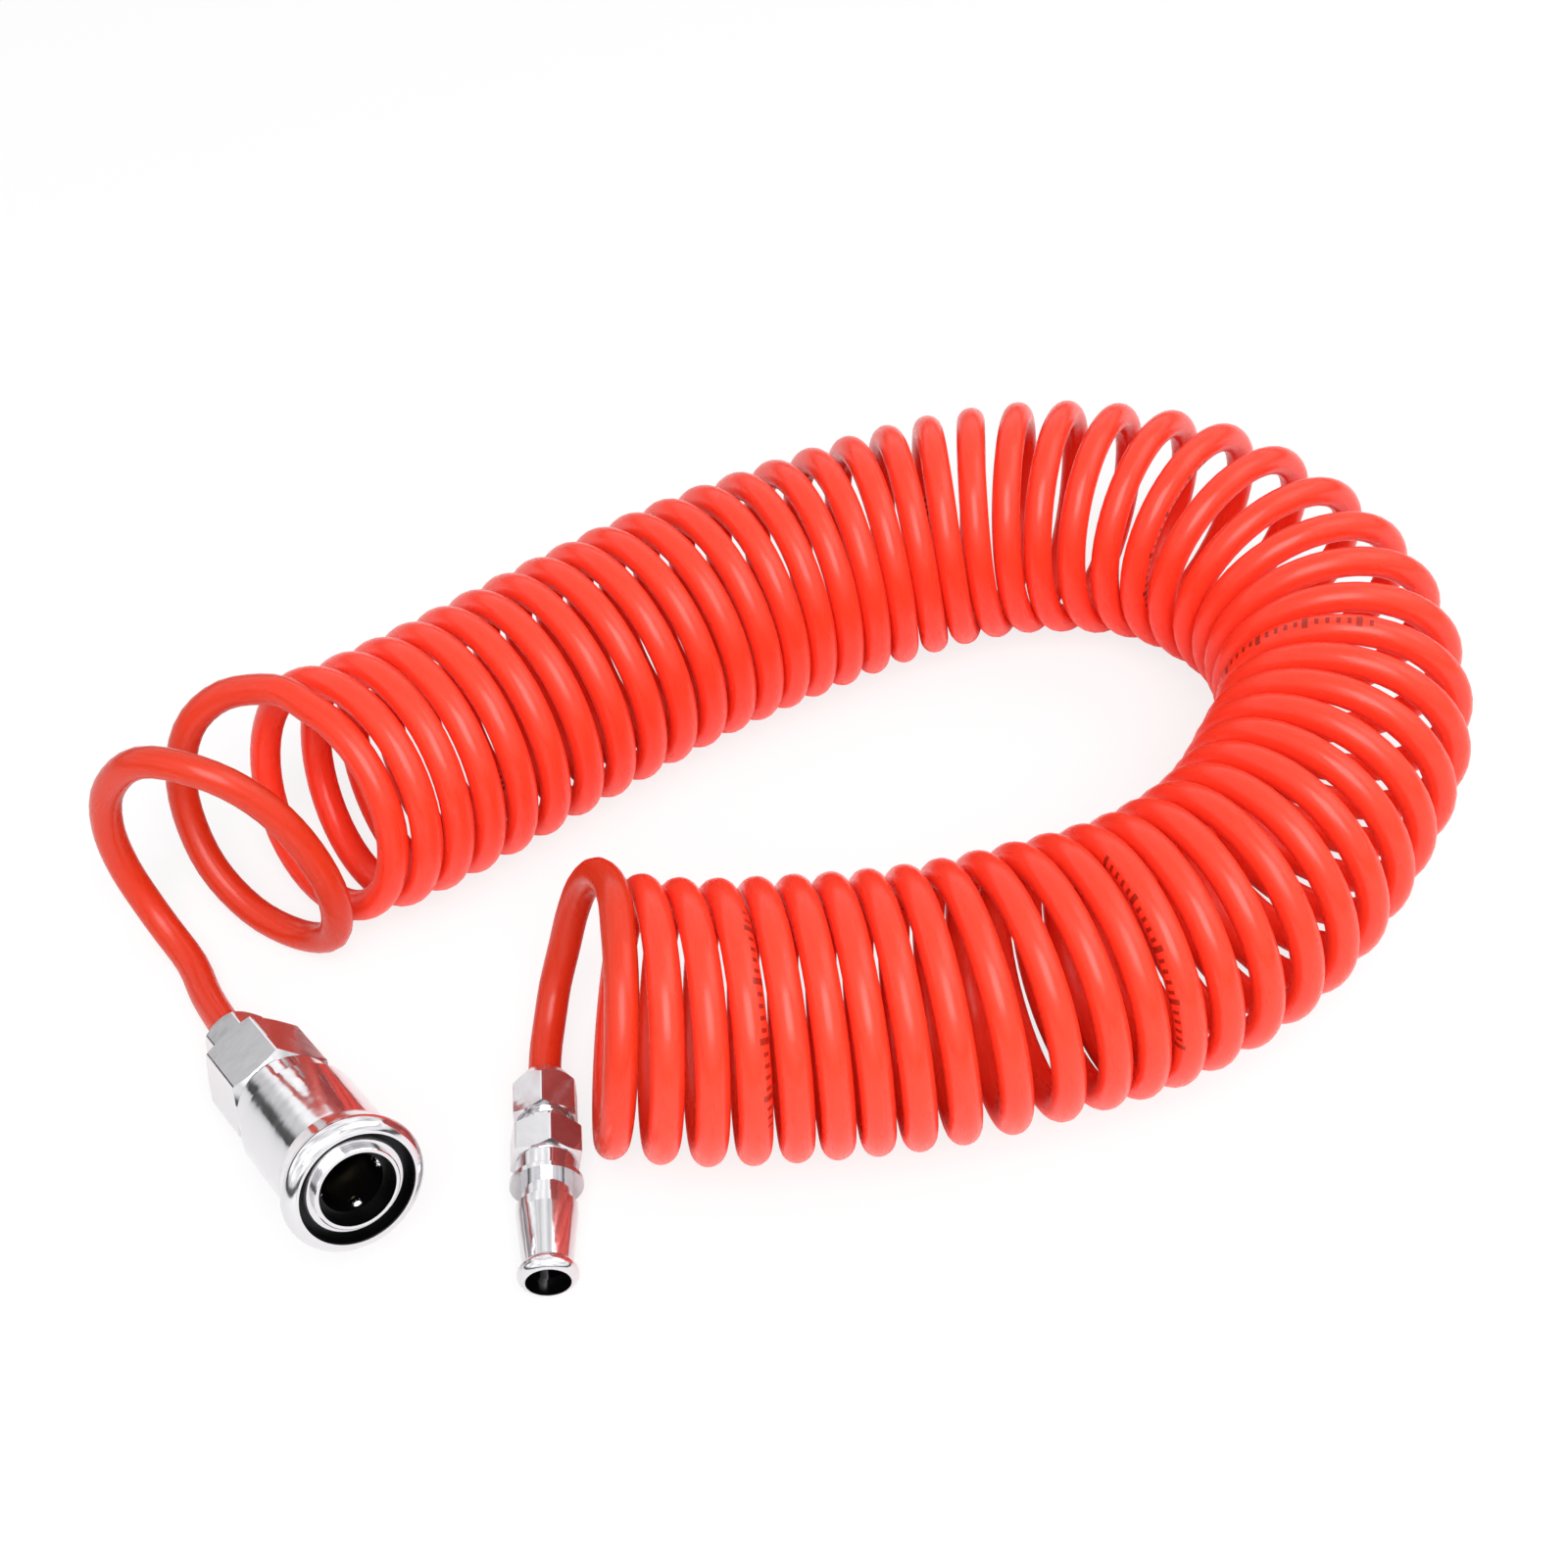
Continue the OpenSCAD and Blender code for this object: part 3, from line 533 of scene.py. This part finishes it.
def polished_chrome(name, looks, at, way, bores=()):
    """Plating with a faint smear and long waves, with painted shade inside the bores: near black
    there.
    """
    s = Shader(name)
    place = s.turned(at, way)
    # painted shade: inside marks the bores, where the plating's colour turns near black in place
    # of shade
    inside = 0.0
    for radius, start, end in bores:
        flat = s.scaled(place, (1.0, 1.0, 0.0))
        reach = s.put("ShaderNodeVectorMath", "Value", {0: flat}, operation="LENGTH")
        height = s.part(place, "Z")
        ahead = s.maths("MULTIPLY", s.maths("GREATER_THAN", height, start * MM),
                        s.below(height, end * MM))
        bore = s.maths("MULTIPLY", s.below(reach, radius * MM), ahead)
        inside = s.maths("MAXIMUM", inside, bore)
    # painted shade: the bores take the near-black bore colour
    s.drive("Base Color", s.blend(inside, four(looks.chrome), four(looks.bore)))
    s.set(Metallic=PLATING)
    smear = s.noise(place, scale=260.0, detail=4.0)
    polish = s.between(smear, 0.35, 0.75, 0.07, 0.16)
    s.drive("Roughness", s.maths("MAXIMUM", polish, s.maths("MULTIPLY", inside, BORE_SHADE_ROUGHNESS)))
    fine = s.noise(place, scale=900.0, detail=3.0)
    waves = s.maths("MULTIPLY_ADD", fine, 0.1, s.noise(place, scale=170.0, detail=2.0))
    s.bump(waves, depth=0.12 * MM, strength=0.6)
    return s.material


def plain_metal(name, colour, polished, dull, scale=700.0):
    """Bare metal whose colour and roughness change a little over its surface."""
    s = Shader(name)
    s.set(Metallic=1.0)
    place = s.place()
    wear = s.noise(place, scale, detail=4.0)
    s.drive("Base Color", s.blend(wear, four(colour, 0.8), four(colour)))
    s.drive("Roughness", s.between(wear, 0.3, 0.7, polished, dull))
    s.bump(s.noise(place, 3 * scale, detail=3.0), depth=0.01 * MM, strength=0.5)
    return s.material


def seal_rubber(looks):
    """Black rubber with a fine grain."""
    s = Shader("seal_rubber")
    s.set(Metallic=0.0, IOR=1.5)
    grain = s.noise(s.place(), scale=2200.0, detail=4.0)
    s.drive("Base Color", s.blend(grain, four(looks.rubber, 0.7), four(looks.rubber, 1.3)))
    s.drive("Roughness", s.between(grain, 0.3, 0.7, 0.45, 0.65))
    s.bump(grain, depth=0.03 * MM, strength=0.5)
    return s.material


def dress(material, *nodes):
    """Gives CAD nodes a material, in the slots they have."""
    for name in nodes:
        slots = frame["nodes"][name].data.materials
        if len(slots) == 0:
            slots.append(material)
        for i in range(len(slots)):
            slots[i] = material


# ---------- shapes ----------
def turned_hexagon(node, at, way, material):
    """A copy of a CAD node, turned about its coupler's axis, its hexagon's corners broken."""
    turn, broken = HEXAGONS[node]
    axis = Vector(way)
    shape = bmesh.new()
    shape.from_mesh(frame["nodes"][node].data)
    bmesh.ops.remove_doubles(shape, verts=shape.verts, dist=1e-6)
    bmesh.ops.dissolve_limit(
        shape, angle_limit=ONE_FACE, verts=shape.verts, edges=shape.edges)

    def is_corner(edge):
        if len(edge.link_faces) != 2 or edge.calc_length() <= HEXAGON_LENGTH:
            return False
        way_along = (edge.verts[1].co - edge.verts[0].co).normalized()
        return (edge.calc_face_angle() > HEXAGON_CORNER
                and abs(way_along.dot(axis)) > HEXAGON_ALONG)

    corners = [edge for edge in shape.edges if is_corner(edge)]
    if len(corners) != 6:
        raise RuntimeError(f"{node} has {len(corners)} long corners and not six")
    bmesh.ops.bevel(
        shape, geom=corners, offset=broken, segments=2, profile=0.5, affect="EDGES")
    spin = Matrix.Rotation(math.radians(turn), 3, axis)
    bmesh.ops.rotate(shape, cent=Vector(at), matrix=spin, verts=shape.verts)
    mesh = bpy.data.meshes.new(node + "_turned")
    shape.to_mesh(mesh)
    shape.free()
    mesh.materials.append(material)
    mesh.shade_smooth()
    mesh.set_sharp_from_angle(angle=HEXAGON_SMOOTH)
    piece = linked(node + "_turned", mesh)
    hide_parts(node)
    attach(piece, BODY)


def turned_piece(name, profile, at, way, sides=48):
    """A closed profile of (radius, height) turned round a coupler's axis."""
    turn = Vector(way).to_track_quat("Z", "Y").to_matrix().to_4x4()
    place = Matrix.Translation(Vector(at)) @ turn
    points, faces, count = [], [], len(profile)
    for i in range(sides):
        a = 2 * math.pi * i / sides
        points += [place @ Vector((r * math.cos(a), r * math.sin(a), z)) for r, z in profile]
        here, there = i * count, (i + 1) % sides * count
        for k in range(count):
            after = (k + 1) % count
            faces.append((here + k, there + k, there + after, here + after))
    mesh = bpy.data.meshes.new(name)
    mesh.from_pydata(points, [], faces)
    mesh.shade_smooth()
    mesh.set_sharp_from_angle(angle=TURNED_SMOOTH)
    return linked(name, mesh)


# ---------- operators ----------
class AIRHOSE_OT_camera(bpy.types.Operator):
    """Place the camera"""

    bl_idname = "air_hose.camera"
    bl_label = "Camera"

    def execute(self, context):
        looks = context.scene.air_hose.stage
        data = bpy.data.cameras.new("camera")
        data.lens, data.sensor_width = looks.lens, SENSOR
        data.clip_start, data.clip_end = CLIP
        camera = bpy.data.objects.new("camera", data)
        back = Vector((0, -math.cos(looks.elevation), math.sin(looks.elevation)))
        camera.location = Vector(looks.aim) + looks.distance * back
        camera.rotation_euler = (math.pi / 2 - looks.elevation, 0, 0)
        context.scene.collection.objects.link(camera)
        context.scene.camera = camera
        return {"FINISHED"}


class AIRHOSE_OT_hose(bpy.types.Operator):
    """Wind the hose and lead its two ends into the couplers"""

    bl_idname = "air_hose.hose"
    bl_label = "Curled hose"

    def execute(self, context):
        looks = context.scene.air_hose.hose
        first, last = LAID[0][0], LAID[-1][0]
        turns = np.linspace(first, last, (last - first) * RINGS_PER_TURN + 1)
        middles, heading, lean = curl_middles(turns, looks)
        lead = free_stretch(looks, first, -1, SOCKET_ROUTE, SOCKET_AT, SOCKET_WAY)[:0:-1]
        tail = free_stretch(looks, last, 1, PLUG_ROUTE, PLUG_AT, PLUG_WAY)[1:]
        points = np.concatenate([lead, middles, tail])
        before, after = np.zeros(len(lead)), np.zeros(len(tail))
        facts = {
            "turn": np.concatenate([before + first, turns, after + last]),
            "heading": np.concatenate([before + heading[0], heading, after + heading[-1]]),
            "lean": np.concatenate([before + lean[0], lean, after + lean[-1]]),
            "wound": np.concatenate([before, np.ones(len(turns)), after]),
        }
        line = laid_object(context, points, facts)
        hose = made_by(curled_hose_tree(), line, "hose", {
            "Hose radius": looks.diameter / 2, "Curl radius": looks.curl / 2,
            "Sides": looks.sides, "Material": hose_polyurethane(looks)})
        centres = self.lay_out(hose, looks.sides, facts)
        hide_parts("hose_coil", "hose_tail_plug", "hose_tail_socket")
        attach(hose, BODY)
        return {"FINISHED"}

    @staticmethod
    def lay_out(hose, sides, facts):
        """Marks every point with its angle from the outside of the curl and its distance along
        the hose, and with its angle and distance from the nearest row of ticks. Angles are kept
        as cosine and sine. Returns the hose's middle line."""
        mesh = hose.data
        points = np.empty(len(mesh.vertices) * 3, np.float32)
        mesh.vertices.foreach_get("co", points)
        rings = points.reshape(-1, sides, 3).astype(float)
        if len(rings) != len(facts["turn"]):
            raise RuntimeError("the hose has another number of rings than its line has points")
        centres = rings.mean(axis=1)
        way = np.gradient(centres, axis=0)
        way /= np.linalg.norm(way, axis=1)[:, None]
        out = spokes(facts["turn"], facts["heading"], facts["lean"])
        out -= (out * way).sum(axis=1)[:, None] * way
        out /= np.linalg.norm(out, axis=1)[:, None]
        aside = np.cross(way, out)
        spoke = rings - centres[:, None]
        around = np.arctan2(
            (spoke * aside[:, None]).sum(axis=2), (spoke * out[:, None]).sum(axis=2))
        run = distance_along(centres)
        rows, degrees = np.array(TICK_ROWS, float).T
        from_line = around - np.radians(np.interp(run, rows * MM, degrees))[:, None]
        from_row = np.abs(run[:, None] - rows * MM).min(axis=1)
        for name, angle, along in (("skin", around, run), ("mark", from_line, from_row)):
            along = np.repeat(along[:, None], sides, axis=1)
            values = np.stack([np.cos(angle), np.sin(angle), along], axis=2)
            attribute = mesh.attributes.new(name, "FLOAT_VECTOR", "POINT")
            attribute.data.foreach_set("vector", values.ravel().astype(np.float32))
        return centres


class AIRHOSE_OT_gripped_ends(bpy.types.Operator):
    """Make the two hose ends inside the cap nuts, pushed over the barb"""

    bl_idname = "air_hose.gripped_ends"
    bl_label = "Gripped ends"

    def execute(self, context):
        looks = context.scene.air_hose.hose
        outer, inner = looks.diameter / 2, looks.bore / 2
        profile = [
            (inner, NUT_WALL), (outer, NUT_WALL), (outer, BARB_FRONT),
            (outer + BARB_RISE, BARB_CREST), (outer + BARB_RISE, BARB_BACK),
            (outer, BARB_PAST), (outer, HOSE_END), (inner, HOSE_END), (inner, BARB_PAST),
            (inner + BARB_RISE, BARB_BACK), (inner + BARB_RISE, BARB_CREST),
            (inner, BARB_FRONT),
        ]
        for name, at, way, node in (
                ("hose_end_in_plug", PLUG_AT, PLUG_WAY, "hose_end_plug"),
                ("hose_end_in_socket", SOCKET_AT, SOCKET_WAY, "hose_end_socket")):
            end = turned_piece(name, profile, at, way)
            end.data.materials.append(bpy.data.materials["hose_polyurethane"])
            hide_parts(node)
            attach(end, BODY)
        return {"FINISHED"}


class AIRHOSE_OT_plug(bpy.types.Operator):
    """Finish the plug and its cap nut"""

    bl_idname = "air_hose.plug"
    bl_label = "Plug finish"

    def execute(self, context):
        looks = context.scene.air_hose.coupler
        chrome = polished_chrome("plug_chrome", looks, PLUG_AT, PLUG_WAY, PLUG_SHADED_BORES)
        turned_hexagon("plug_nut", PLUG_AT, PLUG_WAY, chrome)
        turned_hexagon("plug_body", PLUG_AT, PLUG_WAY, chrome)
        return {"FINISHED"}


class AIRHOSE_OT_socket(bpy.types.Operator):
    """Finish the socket's cap nut, adapter, body, ring and sleeve"""

    bl_idname = "air_hose.socket"
    bl_label = "Socket finish"

    def execute(self, context):
        looks = context.scene.air_hose.coupler
        chrome = polished_chrome("socket_chrome", looks, SOCKET_AT, SOCKET_WAY)
        for node in ("socket_nut", "socket_adapter"):
            turned_hexagon(node, SOCKET_AT, SOCKET_WAY, chrome)
        body = polished_chrome("body_chrome", looks, SOCKET_AT, SOCKET_WAY, BODY_SHADED_BORES)
        dress(body, "socket_body", "retaining_ring")
        sleeve = polished_chrome("sleeve_chrome", looks, SOCKET_AT, SOCKET_WAY, SLEEVE_SHADED_BORES)
        dress(sleeve, "sleeve")
        return {"FINISHED"}


class AIRHOSE_OT_springs(bpy.types.Operator):
    """Wind the sleeve's and the valve's springs, at rest; the real ones shorten as these slide"""

    bl_idname = "air_hose.springs"
    bl_label = "Springs"

    def execute(self, context):
        steel = plain_metal("spring_wire", (0.55, 0.55, 0.57), polished=0.2, dull=0.35)
        for joint in frame["record"]["behaviour"]["joints"]:
            for row in joint.get("deforming_nodes", ()):
                self.wind(context, row["node"], joint, Vector(row["fixed_end_m"]), steel)
        return {"FINISHED"}

    @staticmethod
    def wind(context, node, joint, fixed_end, material):
        """A spring in the room of its CAD node, with a closed turn at each end."""
        points = np.array([v.co for v in frame["nodes"][node].data.vertices]) - SOCKET_AT
        height = points @ SOCKET_WAY
        reach = np.linalg.norm(points - height[:, None] * SOCKET_WAY, axis=1)
        wire, radius = reach.max() - reach.min(), (reach.max() + reach.min()) / 2
        low, high = height.min() + wire / 2, height.max() - wire / 2
        t = np.linspace(0, SPRING_TURNS, SPRING_TURNS * SPRING_STEPS + 1)
        closed = wire + SPRING_GAP
        rise = np.interp(
            t, [0, 1, SPRING_TURNS - 1, SPRING_TURNS], [low, low + closed, high - closed, high])
        still = np.zeros(len(t))
        facts = {"turn": t, "heading": still + SOCKET_TURN - math.pi / 2,
                 "lean": still - SOCKET_TILT, "wound": still + 1}
        line = laid_object(context, SOCKET_AT + rise[:, None] * SOCKET_WAY, facts)
        spring = made_by(bpy.data.node_groups["Curled hose"], line, node + "_wound", {
            "Hose radius": wire / 2, "Curl radius": radius, "Sides": SPRING_SIDES,
            "Material": material})
        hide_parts(node)
        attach(spring, BODY)
        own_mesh(spring)


class AIRHOSE_OT_lock(bpy.types.Operator):
    """Finish the balls, valve and seals"""

    bl_idname = "air_hose.lock"
    bl_label = "Lock and valve finish"

    def execute(self, context):
        looks = context.scene.air_hose.coupler
        steel = plain_metal("ball_steel", (0.75, 0.75, 0.78), polished=0.08, dull=0.16)
        dress(steel, "ball_1", "ball_2", "ball_3", "ball_4")
        dress(plain_metal("valve_brass", looks.brass, polished=0.25, dull=0.42), "valve")
        dress(seal_rubber(looks), "valve_seal", "plug_packing", "adapter_gasket")
        return {"FINISHED"}


class AIRHOSE_OT_stage(bpy.types.Operator):
    """Lay the floor and set the light"""

    bl_idname = "air_hose.stage"
    bl_label = "Stage"

    def execute(self, context):
        looks = context.scene.air_hose.stage
        self.lay_floor(looks)
        context.scene.world = self.studio()
        for name, at, size, power in LIGHTS:
            data = bpy.data.lights.new(name, "AREA")
            data.size, data.energy = size, power
            light = bpy.data.objects.new(name, data)
            light.location = at
            way = Vector(looks.aim) - Vector(at)
            light.rotation_euler = way.to_track_quat("-Z", "Y").to_euler()
            context.scene.collection.objects.link(light)
        context.scene.view_settings.view_transform = "Standard"
        return {"FINISHED"}

    @staticmethod
    def lay_floor(looks):
        """A pale floor, lit from within for the camera alone, so that it stays even."""
        s = Shader("pale_floor")
        s.set(Base_Color=four(looks.floor), Roughness=0.75)
        glow = s.put("ShaderNodeEmission", 0, {0: (1, 1, 1, 1), 1: 1.0})
        seen = s.put("ShaderNodeLightPath", "Is Camera Ray")
        both = s.put("ShaderNodeMixShader", 0, {
            0: s.maths("MULTIPLY", seen, FLOOR_GLOW), 1: s.surface.outputs[0], 2: glow})
        s.tree.links.new(both, s.tree.nodes["Material Output"].inputs["Surface"])
        mesh = bpy.data.meshes.new("floor")
        corners = ((-1, -1), (1, -1), (1, 1), (-1, 1))
        mesh.from_pydata([(FLOOR_HALF * x, FLOOR_HALF * y, 0) for x, y in corners], [],
                         [(0, 1, 2, 3)])
        mesh.materials.append(s.material)
        linked("floor", mesh)

    @staticmethod
    def studio():
        """A soft even surround, which metal sees as pale panels over a dark band near the
        horizon and the camera as white."""
        world = bpy.data.worlds.new("studio")
        world.use_nodes = True
        new, link = world.node_tree.nodes.new, world.node_tree.links.new
        surround = world.node_tree.nodes["Background"]
        surround.inputs["Color"].default_value = (1, 1, 1, 1)
        surround.inputs["Strength"].default_value = SURROUND

        place, parts = new("ShaderNodeTexCoord"), new("ShaderNodeSeparateXYZ")
        ramp = new("ShaderNodeValToRGB")
        link(place.outputs["Generated"], parts.inputs[0])
        link(parts.outputs["Z"], ramp.inputs[0])
        lowest, highest = ramp.color_ramp.elements
        (lowest.position, grey), (highest.position, highest.color) = BANDS[0], (1.0, OVERHEAD)
        lowest.color = (grey, grey, grey, 1)
        for at, grey in BANDS[1:]:
            ramp.color_ramp.elements.new(at).color = (grey, grey, grey, 1)
        panels, strength = new("ShaderNodeTexNoise"), new("ShaderNodeMapRange")
        link(place.outputs["Generated"], panels.inputs["Vector"])
        panels.inputs["Scale"].default_value = PANEL_SCALE
        panels.inputs["Detail"].default_value = 1.0
        link(panels.outputs[0], strength.inputs[0])
        for i, value in enumerate(PANELS, 1):
            strength.inputs[i].default_value = value
        mirrored, backdrop = new("ShaderNodeBackground"), new("ShaderNodeBackground")
        link(ramp.outputs[0], mirrored.inputs["Color"])
        link(strength.outputs[0], mirrored.inputs["Strength"])
        backdrop.inputs["Color"].default_value = (1, 1, 1, 1)

        path, made = new("ShaderNodeLightPath"), surround.outputs[0]
        for rays, shader in (("Is Glossy Ray", mirrored), ("Is Camera Ray", backdrop)):
            mix = new("ShaderNodeMixShader")
            link(path.outputs[rays], mix.inputs[0])
            link(made, mix.inputs[1])
            link(shader.outputs[0], mix.inputs[2])
            made = mix.outputs[0]
        link(made, world.node_tree.nodes["World Output"].inputs["Surface"])
        return world


class AIRHOSE_PT_panel(bpy.types.Panel):
    """Sizes, colours and steps of the air hose"""

    bl_idname = "AIRHOSE_PT_panel"
    bl_label = "Air hose"
    bl_space_type = "VIEW_3D"
    bl_region_type = "UI"
    bl_category = "Air hose"

    def draw(self, context):
        settings = context.scene.air_hose
        for group in (settings.hose, settings.coupler, settings.stage):
            box = self.layout.box()
            for name in group.bl_rna.properties.keys():
                if name not in ("rna_type", "name"):
                    box.prop(group, name)
        for step in STEPS:
            self.layout.operator(step.bl_idname)


STEPS = (
    AIRHOSE_OT_camera, AIRHOSE_OT_plug, AIRHOSE_OT_hose, AIRHOSE_OT_gripped_ends,
    AIRHOSE_OT_socket, AIRHOSE_OT_springs, AIRHOSE_OT_lock, AIRHOSE_OT_stage,
)
CLASSES = (HoseLooks, CouplerLooks, StageLooks, AirHose, *STEPS, AIRHOSE_PT_panel)


def register():
    for cls in CLASSES:
        bpy.utils.register_class(cls)
    bpy.types.Scene.air_hose = PointerProperty(type=AirHose)


def unregister():
    del bpy.types.Scene.air_hose
    for cls in reversed(CLASSES):
        bpy.utils.unregister_class(cls)


def main():
    register()
    for step in STEPS:
        name = step.bl_idname.split(".")[1]
        getattr(bpy.ops.air_hose, name)()


if __name__ == "__main__":
    main()
